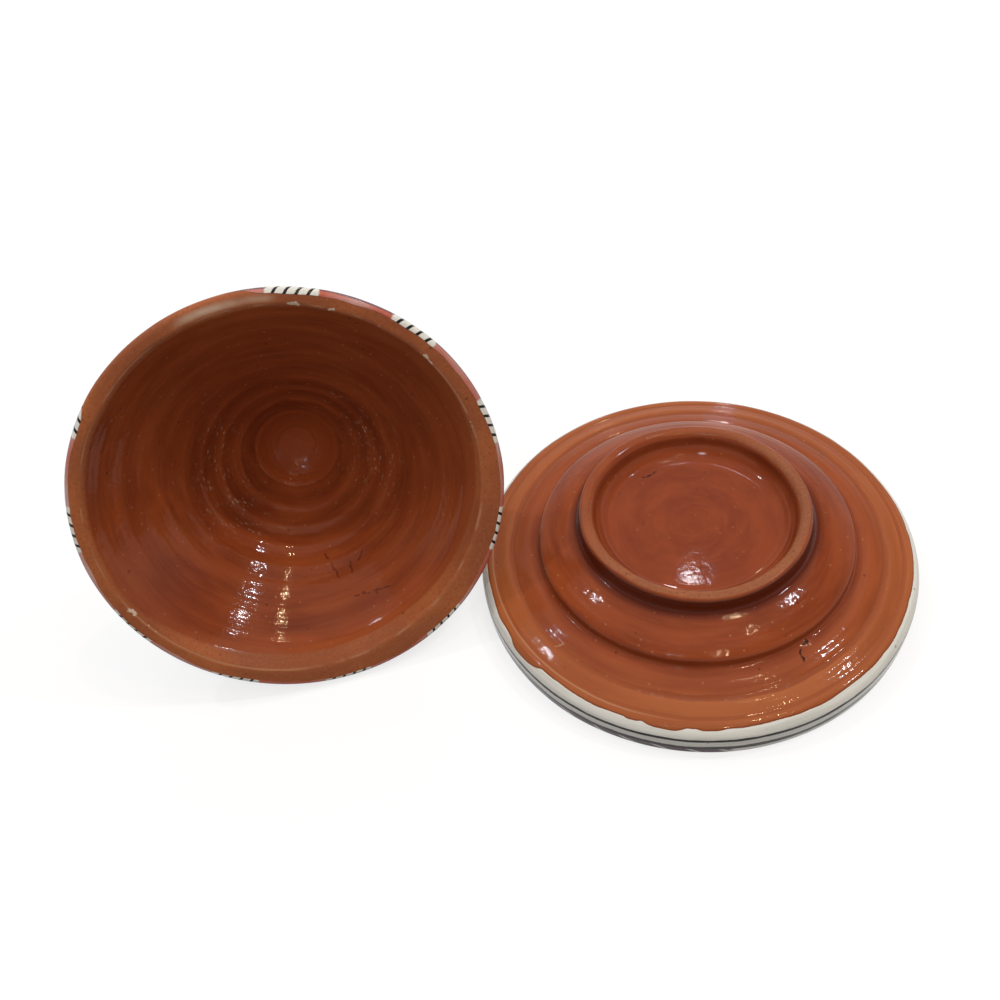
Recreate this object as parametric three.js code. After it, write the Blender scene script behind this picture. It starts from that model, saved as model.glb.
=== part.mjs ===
// A mini tagine: a thrown terracotta dish and its conical lid, as a set taken apart.
// The lid lies on its side with its mouth to the front, and the dish lies upside down beside it.
// Millimetres, +Z up, +Y away from the viewer, with the table at Z = 0.
import * as THREE from 'three';

// Lid, measured upright from the plane of its mouth
const LID_RADIUS = 54.0;
const LID_OUT_OF_ROUND = 0.5;
const LIP_WIDTH = 5.1;
const LIP_ROUND = 1.3;
const BAND_HEIGHT = 3.4;
const SHOULDER_HEIGHT = 4.6;
const LID_WALL = 5.0;
const HOLLOW_DEPTH = 50.6;
const HOLLOW_TIP_RADIUS = 4.7;
const HOLLOW_TIP_ROUND = 5.5;
const TIP_CLAY = 17.0;
const NECK_RADIUS = 10.4;
const NECK_DRAW = 12.0;
const NECK_TO_KNOB = 16.0;
const KNOB_RADIUS = 15.0;
const KNOB_HALF_HEIGHT = 12.4;
const KNOB_SOCKET_ANGLE = 42;

// Throwing rings left by the potter's fingers inside the lid, deep round the tip and faint at the lip
const RING_COUNT = 7;
const RING_DEPTH_AT_TIP = 0.7;
const RING_DEPTH_AT_LIP = 0.1;
const STEPS_PER_RING = 4;

// Dish, measured upright from the standing face of its foot ring
const LID_CLEARANCE = 1.0;
const RIM_WALL = 4.5;
const RIM_LEAN = 0.3;
const RIM_ROUND = 0.9;
const SEAT_DEPTH = 5.5;
const SEAT_CLAY = 3.5;
const SEAT_ROUND = 0.8;
const BOWL_RADIUS = 47.6;
const BOWL_FLOOR_CLAY = 4.8;
const STEP_SET_IN = 4.8;
const STEP_HEIGHT = 2.9;
const BOWL_RISE = 4.5;
const FLANGE_RISE = 3.6;
const FLANGE_ROUND = 3.0;
const FOOT_RADIUS = 31.0;
const FOOT_WIDTH = 3.5;
const FOOT_HEIGHT = 5.0;
const FOOT_ROUND = 1.1;
const FOOT_TAPER = 0.7;
const RECESS_DEPTH = 6.4;
const RECESS_ROUND = 2.6;

// Two thumb-smoothed ridges run round the underside of the flange
const RIDGE_COUNT = 2;
const RIDGE_HEIGHT = 0.55;
const STEPS_PER_RIDGE = 6;

// How the two pieces lie on the table: the lid's mouth is left of the dish, a little further back,
// and turned towards a viewer in front of the pair
const LID_TO_LEFT = 102.9;
const LID_TO_BACK = 2.6;
const LID_TURN = 6.0;

const TURNING_STEPS = 54;
const FACET_LENGTH = 3.6;

const LID_CLAY = new THREE.MeshStandardMaterial({ color: 0x8a4122, roughness: 0.3, metalness: 0 });
const DISH_CLAY = new THREE.MeshStandardMaterial({ color: 0x93472a, roughness: 0.28, metalness: 0 });

// A profile in radius and height, with the clay on its left, turned into a solid about the upright axis
function turned(profile) {
  const geometry = new THREE.LatheGeometry(profile, TURNING_STEPS);
  geometry.rotateX(Math.PI / 2);
  return geometry;
}

// The points of a drawn profile: one facet to a straight stretch, and short facets round the curves
function traced(path) {
  const points = [path.curves[0].getPoint(0)];
  for (const curve of path.curves) {
    const facets = curve.isLineCurve ? 1 : Math.max(2, Math.round(curve.getLength() / FACET_LENGTH));
    points.push(...curve.getPoints(facets).slice(1));
  }
  return points;
}

// Points along a straight stretch of profile that swells out of the clay in waves, its two ends left out:
// the waves' depth goes evenly from the one at the start to the one at the end
function waved(from, to, waves, startDepth, endDepth, stepsPerWave) {
  const along = to.clone().sub(from);
  const across = new THREE.Vector2(along.y, -along.x).normalize();
  const steps = waves * stepsPerWave;
  const points = [];
  for (let i = 1; i < steps; i += 1) {
    const depth = THREE.MathUtils.lerp(startDepth, endDepth, i / steps);
    const swell = depth * (1 - Math.cos(2 * Math.PI * waves * i / steps)) / 2;
    points.push(from.clone().addScaledVector(along, i / steps).addScaledVector(across, swell));
  }
  return points;
}

// The lid's profile, from the tip of the hollow down to the lip and up outside to the top of the knob
function lidProfile() {
  const lipInner = LID_RADIUS - LIP_WIDTH;
  const hollowLip = new THREE.Vector2(lipInner, LIP_ROUND);
  const hollowTip = new THREE.Vector2(HOLLOW_TIP_RADIUS, HOLLOW_DEPTH);
  const slope = (lipInner - HOLLOW_TIP_RADIUS) / (HOLLOW_DEPTH - LIP_ROUND);
  const wallAcross = LID_WALL * Math.hypot(1, slope);
  const outerRadius = (height) => lipInner + wallAcross - slope * (height - LIP_ROUND);
  const coneFoot = BAND_HEIGHT + SHOULDER_HEIGHT;
  const neckHeight = HOLLOW_DEPTH + TIP_CLAY;
  const knobHeight = neckHeight + NECK_TO_KNOB;
  const coneDraw = HOLLOW_DEPTH - LID_WALL;
  const socket = THREE.MathUtils.degToRad(KNOB_SOCKET_ANGLE);
  const knobFoot = new THREE.Vector2(
    KNOB_RADIUS * Math.cos(socket),
    knobHeight - KNOB_HALF_HEIGHT * Math.sin(socket),
  );

  const lip = new THREE.Path();
  lip.moveTo(hollowLip.x, hollowLip.y);
  lip.quadraticCurveTo(lipInner, 0, lipInner + LIP_ROUND, 0);
  lip.lineTo(LID_RADIUS - LIP_ROUND, 0);
  lip.quadraticCurveTo(LID_RADIUS, 0, LID_RADIUS, LIP_ROUND);
  lip.lineTo(LID_RADIUS, BAND_HEIGHT);
  lip.bezierCurveTo(
    LID_RADIUS, BAND_HEIGHT + SHOULDER_HEIGHT / 2,
    outerRadius(coneFoot - SHOULDER_HEIGHT / 2), coneFoot - SHOULDER_HEIGHT / 2,
    outerRadius(coneFoot), coneFoot,
  );
  lip.bezierCurveTo(
    outerRadius(coneDraw), coneDraw,
    NECK_RADIUS, neckHeight - NECK_DRAW,
    NECK_RADIUS, neckHeight,
  );
  lip.quadraticCurveTo(NECK_RADIUS, knobFoot.y - LIP_ROUND, knobFoot.x, knobFoot.y);
  lip.absellipse(0, knobHeight, KNOB_RADIUS, KNOB_HALF_HEIGHT, -socket, Math.PI / 2, false);

  const coneWay = hollowLip.clone().sub(hollowTip).normalize();
  const tipEdge = hollowTip.clone().addScaledVector(coneWay, HOLLOW_TIP_ROUND);
  const tip = new THREE.Path();
  tip.moveTo(0, HOLLOW_DEPTH);
  tip.quadraticCurveTo(hollowTip.x, hollowTip.y, tipEdge.x, tipEdge.y);
  const rings = waved(tipEdge, hollowLip, RING_COUNT, RING_DEPTH_AT_TIP, RING_DEPTH_AT_LIP, STEPS_PER_RING);
  const top = new THREE.Vector2(0, knobHeight + KNOB_HALF_HEIGHT);
  return [...traced(tip), ...rings, ...traced(lip).slice(0, -1), top];
}

// The dish's profile, from the middle of its foot up outside to the rim and down into the middle of the bowl
function dishProfile() {
  const rimInner = LID_RADIUS + LID_OUT_OF_ROUND + LID_CLEARANCE;
  const rimOuter = rimInner + RIM_WALL;
  const rimEdge = rimOuter - RIM_LEAN;
  const footInner = FOOT_RADIUS - FOOT_WIDTH;
  const recessRadius = footInner - FOOT_TAPER;
  const footSpread = FOOT_RADIUS + FOOT_WIDTH;
  const stepRadius = BOWL_RADIUS - STEP_SET_IN;
  const stepEdge = FOOT_HEIGHT + BOWL_RISE;
  const channel = stepEdge + STEP_HEIGHT;
  const flangeEdge = channel + FLANGE_RISE;
  const seat = flangeEdge + SEAT_CLAY;
  const rimTop = seat + SEAT_DEPTH;
  const floor = RECESS_DEPTH + BOWL_FLOOR_CLAY;
  const flangeInner = new THREE.Vector2(stepRadius + SEAT_ROUND, channel + SEAT_ROUND / 2);
  const flangeOuter = new THREE.Vector2(rimOuter - FLANGE_ROUND, flangeEdge - SEAT_ROUND);

  const under = new THREE.Path();
  under.moveTo(0, RECESS_DEPTH);
  under.lineTo(recessRadius - RECESS_ROUND, RECESS_DEPTH);
  under.quadraticCurveTo(recessRadius, RECESS_DEPTH, recessRadius, RECESS_DEPTH - RECESS_ROUND);
  under.lineTo(footInner, FOOT_ROUND);
  under.quadraticCurveTo(footInner, 0, footInner + FOOT_ROUND, 0);
  under.lineTo(FOOT_RADIUS - FOOT_ROUND, 0);
  under.quadraticCurveTo(FOOT_RADIUS, 0, FOOT_RADIUS, FOOT_ROUND);
  under.lineTo(FOOT_RADIUS + FOOT_TAPER, FOOT_HEIGHT);
  under.quadraticCurveTo(
    footSpread, stepEdge - BOWL_RISE * 2 / 3,
    stepRadius - SEAT_ROUND, stepEdge - SEAT_ROUND / 2,
  );
  under.quadraticCurveTo(stepRadius, stepEdge, stepRadius, stepEdge + SEAT_ROUND);
  under.lineTo(stepRadius, channel - SEAT_ROUND);
  under.quadraticCurveTo(stepRadius, channel, flangeInner.x, flangeInner.y);

  const ridges = waved(flangeInner, flangeOuter, RIDGE_COUNT, RIDGE_HEIGHT, RIDGE_HEIGHT, STEPS_PER_RIDGE);

  const inside = new THREE.Path();
  inside.moveTo(flangeOuter.x, flangeOuter.y);
  inside.quadraticCurveTo(rimOuter, flangeEdge, rimOuter, flangeEdge + FLANGE_ROUND);
  inside.quadraticCurveTo(rimOuter, flangeEdge + FLANGE_ROUND * 2, rimEdge, rimTop - RIM_ROUND);
  inside.quadraticCurveTo(rimEdge, rimTop, rimEdge - RIM_ROUND, rimTop);
  inside.lineTo(rimInner + RIM_ROUND, rimTop);
  inside.quadraticCurveTo(rimInner, rimTop, rimInner, rimTop - RIM_ROUND);
  inside.lineTo(rimInner, seat + SEAT_ROUND);
  inside.quadraticCurveTo(rimInner, seat, rimInner - SEAT_ROUND, seat);
  inside.lineTo(BOWL_RADIUS + SEAT_ROUND, seat);
  inside.quadraticCurveTo(BOWL_RADIUS, seat, BOWL_RADIUS, seat - SEAT_ROUND);
  inside.bezierCurveTo(stepRadius, (seat + floor) / 2, footSpread, floor, footInner - FOOT_WIDTH, floor);
  inside.lineTo(0, floor);
  return [...traced(under), ...ridges, ...traced(inside)];
}

// The tilt at which a turned piece lies on a flat table, and the height of its mouth's centre there:
// the line through two points of its profile that leaves no other point below the table
function lying(profile, squash) {
  for (const rim of profile) {
    for (const far of profile.filter((point) => point.y > rim.y)) {
      const tilt = Math.atan2((rim.x - far.x) * squash, far.y - rim.y);
      const reach = (point) => point.x * squash * Math.cos(tilt) + point.y * Math.sin(tilt);
      if (tilt > 0 && profile.every((point) => reach(point) < reach(rim) + 1e-9)) {
        return { tilt, height: reach(rim) };
      }
    }
  }
  return null;
}

// The dish stands at the middle, turned over on its rim
const dishPoints = dishProfile();
const dish = new THREE.Mesh(turned(dishPoints), DISH_CLAY);
dish.name = 'dish';
dish.rotation.x = Math.PI;
dish.position.z = Math.max(...dishPoints.map((point) => point.y));

// The lid dried a little out of round: wider across than it is up and down as it lies
const lidPoints = lidProfile();
const wide = 1 + LID_OUT_OF_ROUND / LID_RADIUS;
const narrow = 1 - LID_OUT_OF_ROUND / LID_RADIUS;
const rest = lying(lidPoints, narrow);
const lid = new THREE.Mesh(turned(lidPoints).scale(wide, narrow, 1), LID_CLAY);
lid.name = 'lid';
lid.rotation.set(-Math.PI / 2 - rest.tilt, 0, THREE.MathUtils.degToRad(LID_TURN), 'ZYX');
lid.position.set(-LID_TO_LEFT, LID_TO_BACK, rest.height);

// The origin is on the table, under the middle of the pair
const tagine = new THREE.Group();
tagine.add(dish, lid);
tagine.updateMatrixWorld(true);
const middle = new THREE.Box3().setFromObject(tagine, true).getCenter(new THREE.Vector3());
tagine.position.set(-middle.x, -middle.y, 0);
tagine.updateMatrixWorld(true);

export default tagine;
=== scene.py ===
import math

import bmesh
import bpy
from mathutils import Matrix, Vector, noise
from mathutils.geometry import interpolate_bezier


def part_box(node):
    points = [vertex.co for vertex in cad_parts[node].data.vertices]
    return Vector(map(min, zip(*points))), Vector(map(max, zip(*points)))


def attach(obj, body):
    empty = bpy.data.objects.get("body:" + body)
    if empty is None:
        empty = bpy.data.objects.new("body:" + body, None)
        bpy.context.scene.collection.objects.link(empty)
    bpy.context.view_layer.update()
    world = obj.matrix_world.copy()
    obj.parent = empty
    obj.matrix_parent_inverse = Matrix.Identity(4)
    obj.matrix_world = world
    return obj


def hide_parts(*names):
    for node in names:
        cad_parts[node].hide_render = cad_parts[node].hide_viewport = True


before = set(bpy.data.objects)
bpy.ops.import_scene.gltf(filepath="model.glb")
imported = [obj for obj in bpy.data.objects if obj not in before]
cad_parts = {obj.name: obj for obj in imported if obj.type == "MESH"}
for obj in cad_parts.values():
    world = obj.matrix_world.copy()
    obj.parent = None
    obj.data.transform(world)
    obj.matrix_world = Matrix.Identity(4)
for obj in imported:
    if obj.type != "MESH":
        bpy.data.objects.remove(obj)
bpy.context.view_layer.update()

# The dish: a shallow bowl of red earthenware, thrown on a wheel, then turned over to trim its foot ring.
# Clear glaze covers the clay but for the worn top of the foot, and white slip the outside of the rim.
# It lies upside down on that rim. Its sizes are upright ones, up from the standing face of the foot.
MM = 0.001
FULL_TURN = 2 * math.pi
PROFILE_STEP = 0.6 * MM
WHEEL_STEPS = 240
MERGE_DISTANCE = 0.002 * MM

dish_low, dish_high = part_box("dish")
DISH_RADIUS = (dish_high.y - dish_low.y) / 2
DISH_HEIGHT = dish_high.z - dish_low.z
RIM_WALL = 4.5 * MM
RIM_LEAN = 0.3 * MM
RIM_LEAN_HEIGHT = 3.4 * MM
RIM_EDGE_ROUND = 0.8 * MM
SEAT_HEIGHT = 19.5 * MM
BOWL_RADIUS = 47.6 * MM
BOWL_FOOT_RADIUS = 36.9 * MM
BOWL_FLOOR_HEIGHT = 11.2 * MM
BOWL_ROUND = 12.0 * MM
FLANGE_HEIGHT = 15.9 * MM
FLANGE_ROUND = 3.0 * MM
WALL_RADIUS = 37.6 * MM
WALL_HEIGHT = 6.3 * MM
WALL_ROUND = 5.0 * MM
STEP_RADIUS = 42.8 * MM
STEP_HEIGHT = 9.5 * MM
CHANNEL_HEIGHT = 12.5 * MM
FOOT_RADIUS = 31.0 * MM
FOOT_WIDTH = 3.5 * MM
FOOT_TAPER = 0.7 * MM
FOOT_HEIGHT = 5.0 * MM
FOOT_ROUND = 1.45 * MM
FOOT_EDGE_ROUND = 0.9 * MM
RECESS_DEPTH = 6.4 * MM
RECESS_TAPER = 1.9 * MM
RECESS_ROUND = 3.6 * MM
TRIMMED_EDGE = 0.8 * MM
FLAT_EDGE = 0.2 * MM

# Ridges and creases that the potter's thumb and trimming tool left round the flange: radius, rise and width
FLANGE_TURNING = [
    (46.6 * MM, 0.3 * MM, 1.9 * MM),
    (50.4 * MM, -0.3 * MM, 0.5 * MM),
    (52.3 * MM, 0.24 * MM, 1.2 * MM),
    (55.5 * MM, -0.14 * MM, 0.6 * MM),
    (57.3 * MM, 0.1 * MM, 0.8 * MM),
]
TRIM_PITCH = 2.4 * MM
TRIM_DEPTH = 0.012 * MM
DISH_WOBBLE = 0.1 * MM
WOBBLE_LENGTH = 17.0 * MM
FOOT_SWAY = 0.5 * MM
FOOT_SWAY_TURNS = 1.6
BLISTER_RADIUS = 43.9 * MM
BLISTER_ANGLE = math.radians(64.7)
BLISTER_RISE = 0.5 * MM
BLISTER_WIDTH = 0.9 * MM
AXIS_RADIUS = 12.0 * MM


def nearest_point(wire, radius, height):
    """The point of a profile that is nearest to a radius and a height."""
    goal = Vector((radius, 0, height))
    return min(wire.verts, key=lambda point: (point.co - goal).length)


def way_to(wire, radius, height):
    """How far along a profile the point nearest to a radius and a height is."""
    return nearest_point(wire, radius, height)[wire.verts.layers.float["way"]]


def draw_profile(corners):
    """A wire through a profile's corners, each a radius, a height and a rounding, with the clay on its left.
    Every point keeps how far along the wire it is."""
    wire = bmesh.new()
    way = wire.verts.layers.float.new("way")
    points = [wire.verts.new((radius, 0, height)) for radius, height, rounding in corners]
    for before, after in zip(points, points[1:]):
        wire.edges.new((before, after))
    for point, (radius, height, rounding) in zip(points, corners):
        if rounding:
            segments = 3 + round(rounding / PROFILE_STEP)
            bmesh.ops.bevel(wire, geom=[point], offset=rounding, segments=segments, profile=0.5,
                            affect="VERTICES", material=-1)
    for edge in wire.edges[:]:
        cuts = int(edge.calc_length() / PROFILE_STEP)
        if cuts:
            bmesh.ops.subdivide_edges(wire, edges=[edge], cuts=cuts)
    before, point, length = None, nearest_point(wire, corners[0][0], corners[0][1]), 0.0
    while point:
        point[way] = length
        ahead = [edge.other_vert(point) for edge in point.link_edges if edge.other_vert(point) != before]
        length += (ahead[0].co - point.co).length if ahead else 0.0
        before, point = point, ahead[0] if ahead else None
    return wire


def throw(wire, relief):
    """Spins a profile into a closed clay body and moves its points by the relief. Each keeps its upright
    place and how far it was raised."""
    bmesh.ops.spin(wire, geom=wire.verts[:] + wire.edges[:], cent=(0, 0, 0), axis=(0, 0, 1), dvec=(0, 0, 0),
                   angle=FULL_TURN, steps=WHEEL_STEPS, use_merge=True)
    bmesh.ops.remove_doubles(wire, verts=wire.verts[:], dist=MERGE_DISTANCE)
    bmesh.ops.recalc_face_normals(wire, faces=wire.faces[:])
    wire.normal_update()
    way = wire.verts.layers.float["way"]
    upright = wire.verts.layers.float_vector.new("upright")
    raised = wire.verts.layers.float.new("raised")
    for point in wire.verts:
        point[upright] = point.co
        moved = relief(point.co.copy(), point[way], point.normal)
        point[raised] = moved.dot(point.normal)
        point.co = point.co + moved


def set_down(name, clay, place):
    """Puts a thrown body where it lies and makes it a smooth piece."""
    bmesh.ops.transform(clay, matrix=place, verts=clay.verts[:])
    mesh = bpy.data.meshes.new(name)
    clay.to_mesh(mesh)
    clay.free()
    mesh.shade_smooth()
    piece = bpy.data.objects.new(name, mesh)
    bpy.context.scene.collection.objects.link(piece)
    return piece


def turned(radius, height, angle):
    """The upright place at a radius, a height and an angle round the wheel."""
    return Vector((radius * math.cos(angle), radius * math.sin(angle), height))


def side_at(angle):
    """The way straight out from the axis at an angle round the wheel, in degrees."""
    return turned(1, 0, math.radians(angle))


def bell(distance, width):
    """1 at no distance, falling smoothly to nothing a few widths away."""
    return math.exp(-(distance / width) ** 2)


def spiral_wave(place, way, pitch):
    """The height, from -1 to 1, of a wave that winds along a thrown wall, one pitch to a turn."""
    return math.sin(FULL_TURN * way / pitch + math.atan2(place.y, place.x))


rim_inner = DISH_RADIUS - RIM_WALL
foot_inner = FOOT_RADIUS - FOOT_WIDTH
dish_wire = draw_profile([
    (0, RECESS_DEPTH, 0),
    (foot_inner - RECESS_TAPER, RECESS_DEPTH, RECESS_ROUND),
    (foot_inner, 0, FOOT_ROUND),
    (FOOT_RADIUS, 0, FOOT_EDGE_ROUND),
    (FOOT_RADIUS + FOOT_TAPER, FOOT_HEIGHT, TRIMMED_EDGE),
    (WALL_RADIUS, WALL_HEIGHT, WALL_ROUND),
    (STEP_RADIUS, STEP_HEIGHT, TRIMMED_EDGE),
    (STEP_RADIUS, CHANNEL_HEIGHT, TRIMMED_EDGE),
    (DISH_RADIUS, FLANGE_HEIGHT, FLANGE_ROUND),
    (DISH_RADIUS, DISH_HEIGHT - RIM_LEAN_HEIGHT, RIM_EDGE_ROUND),
    (DISH_RADIUS - RIM_LEAN, DISH_HEIGHT, RIM_EDGE_ROUND),
    (rim_inner, DISH_HEIGHT, RIM_EDGE_ROUND),
    (rim_inner, SEAT_HEIGHT, TRIMMED_EDGE),
    (BOWL_RADIUS, SEAT_HEIGHT, TRIMMED_EDGE),
    (BOWL_FOOT_RADIUS, BOWL_FLOOR_HEIGHT, BOWL_ROUND),
    (0, BOWL_FLOOR_HEIGHT, 0),
])
recess_way = way_to(dish_wire, foot_inner - RECESS_TAPER, RECESS_DEPTH)
foot_face_start = way_to(dish_wire, foot_inner, 0)
foot_face_end = way_to(dish_wire, FOOT_RADIUS, 0)
foot_base_way = way_to(dish_wire, FOOT_RADIUS + FOOT_TAPER, FOOT_HEIGHT)
channel_way = way_to(dish_wire, STEP_RADIUS, CHANNEL_HEIGHT)
flange_end = way_to(dish_wire, DISH_RADIUS, FLANGE_HEIGHT)
rim_edge_way = way_to(dish_wire, DISH_RADIUS - RIM_LEAN, DISH_HEIGHT)
rim_inner_way = way_to(dish_wire, rim_inner, DISH_HEIGHT)
seat_way = way_to(dish_wire, rim_inner, SEAT_HEIGHT)


def flange_place(radius, angle):
    """A place on the slope of the flange."""
    slope = (FLANGE_HEIGHT - CHANNEL_HEIGHT) / (DISH_RADIUS - STEP_RADIUS)
    return turned(radius, CHANNEL_HEIGHT + slope * (radius - STEP_RADIUS), angle)


blister = flange_place(BLISTER_RADIUS, BLISTER_ANGLE)


def dish_relief(place, way, normal):
    """Turned ridges round the flange, faint trimming rings, a blister, a foot ring that sways, and the
    wobble of a hand-turned wall. The standing face and the rim's edge stay flat."""
    radius = math.hypot(place.x, place.y)
    angle = math.atan2(place.y, place.x)
    sway = Vector((0, 0, 0))
    if recess_way < way < foot_base_way and place.z < FOOT_HEIGHT:
        swing = noise.noise(turned(FOOT_SWAY_TURNS, 0, angle)) * (1 - place.z / FOOT_HEIGHT)
        sway = turned(FOOT_SWAY * swing, 0, angle)
    if min(place.z, DISH_HEIGHT - place.z) < FLAT_EDGE:
        return sway
    swell = noise.noise(place / WOBBLE_LENGTH)
    rise = DISH_WOBBLE * (swell - 1)
    if way > recess_way:
        rise += TRIM_DEPTH * spiral_wave(place, way, TRIM_PITCH)
    if channel_way < way < rim_edge_way:
        rise += sum(height * bell(radius - middle, width) for middle, height, width in FLANGE_TURNING)
        rise += BLISTER_RISE * bell((place - blister).length, BLISTER_WIDTH)
    return normal * rise + sway


throw(dish_wire, dish_relief)
dish_axis = (dish_low + dish_high) / 2
dish_place = Matrix.Translation((dish_axis.x, dish_axis.y, dish_high.z)) @ Matrix.Rotation(math.pi, 4, "X")
dish = set_down("dish_turned_over", dish_wire, dish_place)


def feed(tree, socket, value):
    """Gives a socket another node's output, or a plain value."""
    if isinstance(value, bpy.types.NodeSocket):
        tree.links.new(value, socket)
    else:
        socket.default_value = value


def add_node(tree, kind, fed=None, **settings):
    """A new node with some of its settings changed and some of its sockets fed."""
    node = tree.nodes.new(kind)
    for name, value in settings.items():
        setattr(node, name, value)
    for socket, value in (fed or {}).items():
        feed(tree, node.inputs[socket], value)
    return node


def calc(tree, operation, *values):
    """A sum on numbers that change over the surface."""
    return add_node(tree, "ShaderNodeMath", dict(enumerate(values)), operation=operation).outputs["Value"]


def vector_calc(tree, operation, *values):
    """A sum on places that change over the surface."""
    node = add_node(tree, "ShaderNodeVectorMath", dict(enumerate(values)), operation=operation)
    return node.outputs["Value" if operation in ("LENGTH", "DOT_PRODUCT") else "Vector"]


def scaled(tree, vector, scale):
    """A place times a number that changes over the surface."""
    sockets = {"Vector": vector, "Scale": scale}
    return add_node(tree, "ShaderNodeVectorMath", sockets, operation="SCALE").outputs["Vector"]


def soft_step(tree, value, start, end):
    """0 up to start and 1 from end on, with a smooth slope between; the other way round if end is less."""
    sockets = {"Value": value, "From Min": start, "From Max": end}
    return add_node(tree, "ShaderNodeMapRange", sockets, interpolation_type="SMOOTHSTEP").outputs["Result"]


def soft_band(tree, value, middle, reach):
    """1 in the middle of a band, falling smoothly to 0 at its reach on both sides."""
    return soft_step(tree, calc(tree, "ABSOLUTE", calc(tree, "SUBTRACT", value, middle)), reach, 0.0)


def mixed(tree, amount, below, above):
    """One colour laid over another, as far as the amount says."""
    return add_node(tree, "ShaderNodeMix", {0: amount, 6: below, 7: above}, data_type="RGBA").outputs[2]


def share(tree, mask, amount):
    """A mask at a part of its strength, or only where another one is too."""
    return calc(tree, "MULTIPLY", mask, amount)


def layered(tree, colour, layers):
    """Colours laid one over another, each with the mask that it shows through and its strength there."""
    for mask, strength, tint in layers:
        colour = mixed(tree, share(tree, mask, strength), colour, tint)
    return colour


def inverse(tree, mask):
    """Where a mask is not."""
    return calc(tree, "SUBTRACT", 1.0, mask)


def mottle(tree, where, scale, detail):
    """Cloudy noise, about a half on average, with a number of features to a metre of the place given."""
    sockets = {"Vector": where, "Scale": scale, "Detail": detail}
    return add_node(tree, "ShaderNodeTexNoise", sockets).outputs["Fac"]


def spots(tree, where, scale, edge, size):
    """Scattered round spots, so many to a metre, whose soft edge and size are shares of their spacing."""
    node = add_node(tree, "ShaderNodeTexVoronoi", {"Vector": where, "Scale": scale})
    return soft_step(tree, node.outputs["Distance"], edge, size)


def new_group(name, inputs, outputs):
    """An effect that several finishes share, with the sockets that it is given and those that it fills."""
    group = bpy.data.node_groups.new(name, "ShaderNodeTree")
    for label, kind in inputs.items():
        group.interface.new_socket(label, in_out="INPUT", socket_type="NodeSocket" + kind)
    for label in outputs:
        group.interface.new_socket(label, in_out="OUTPUT", socket_type="NodeSocketFloat")
    return group, group.nodes.new("NodeGroupInput").outputs, group.nodes.new("NodeGroupOutput").inputs


def use_group(tree, group, *values):
    """Places a shared effect in a finish with its own values, in the order of the effect's inputs."""
    return add_node(tree, "ShaderNodeGroup", dict(enumerate(values)), node_tree=group).outputs


def from_axis(tree, place):
    """The way straight out from the wheel's axis to a place."""
    return vector_calc(tree, "MULTIPLY", place, (1, 1, 0))


def wheel_facing(tree, place):
    """Which way from the wheel's axis a place lies."""
    return vector_calc(tree, "NORMALIZE", from_axis(tree, place))


def on_side(tree, facing, side, start, end):
    """The part of a piece that faces one side, from where the two begin to agree to where they do fully."""
    return soft_step(tree, vector_calc(tree, "DOT_PRODUCT", facing, side), start, end)


def wheel_turn(tree, place):
    """How far round the wheel a place lies, from -0.5 to 0.5 of a turn."""
    split = add_node(tree, "ShaderNodeSeparateXYZ", {"Vector": place})
    return calc(tree, "DIVIDE", calc(tree, "ARCTAN2", split.outputs["Y"], split.outputs["X"]), FULL_TURN)


def wheel_girth(tree, place):
    """The length once round the piece at the radius of a place."""
    return calc(tree, "MULTIPLY", vector_calc(tree, "LENGTH", from_axis(tree, place)), FULL_TURN)


def beside(tree, turn, count, shift):
    """How far beside the nearest of so many marks spaced round the piece a place lies, from -0.5 to 0.5 of
    their spacing."""
    return calc(tree, "SUBTRACT", calc(tree, "FRACT", calc(tree, "MULTIPLY_ADD", turn, count, shift)), 0.5)


def round_the_wheel(tree, place, way, around, along):
    """A place for noise that has no seam: some features round the piece, fewer close to the axis, and so
    many to a metre of wall."""
    climb = add_node(tree, "ShaderNodeCombineXYZ", {"Z": calc(tree, "MULTIPLY", way, along)})
    flat = from_axis(tree, place)
    radius = calc(tree, "MAXIMUM", vector_calc(tree, "LENGTH", flat), AXIS_RADIUS)
    swept = scaled(tree, flat, calc(tree, "DIVIDE", around, radius))
    return vector_calc(tree, "ADD", swept, climb.outputs["Vector"])


# Streaks that fingers, a sponge and the glaze brush leave round a thrown wall
STREAKS = {
    # name: features round the piece and to a metre of wall, detail, and the noise where one starts and
    # where it is full
    "Broad": (1.1, 150, 4.0, 0.32, 0.68),
    "Fine": (3.4, 1000, 3.0, 0.4, 0.75),
    "Smear": (2.6, 210, 4.0, 0.52, 0.72),
}
wheel_marks, given, wanted = new_group("wheel marks", {"Place": "Vector", "Way": "Float"}, STREAKS)
for name, (around, along, detail, start, end) in STREAKS.items():
    where = round_the_wheel(wheel_marks, given["Place"], given["Way"], around, along)
    streak = mottle(wheel_marks, where, 1.0, detail)
    feed(wheel_marks, wanted[name], soft_step(wheel_marks, streak, start, end))

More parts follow.
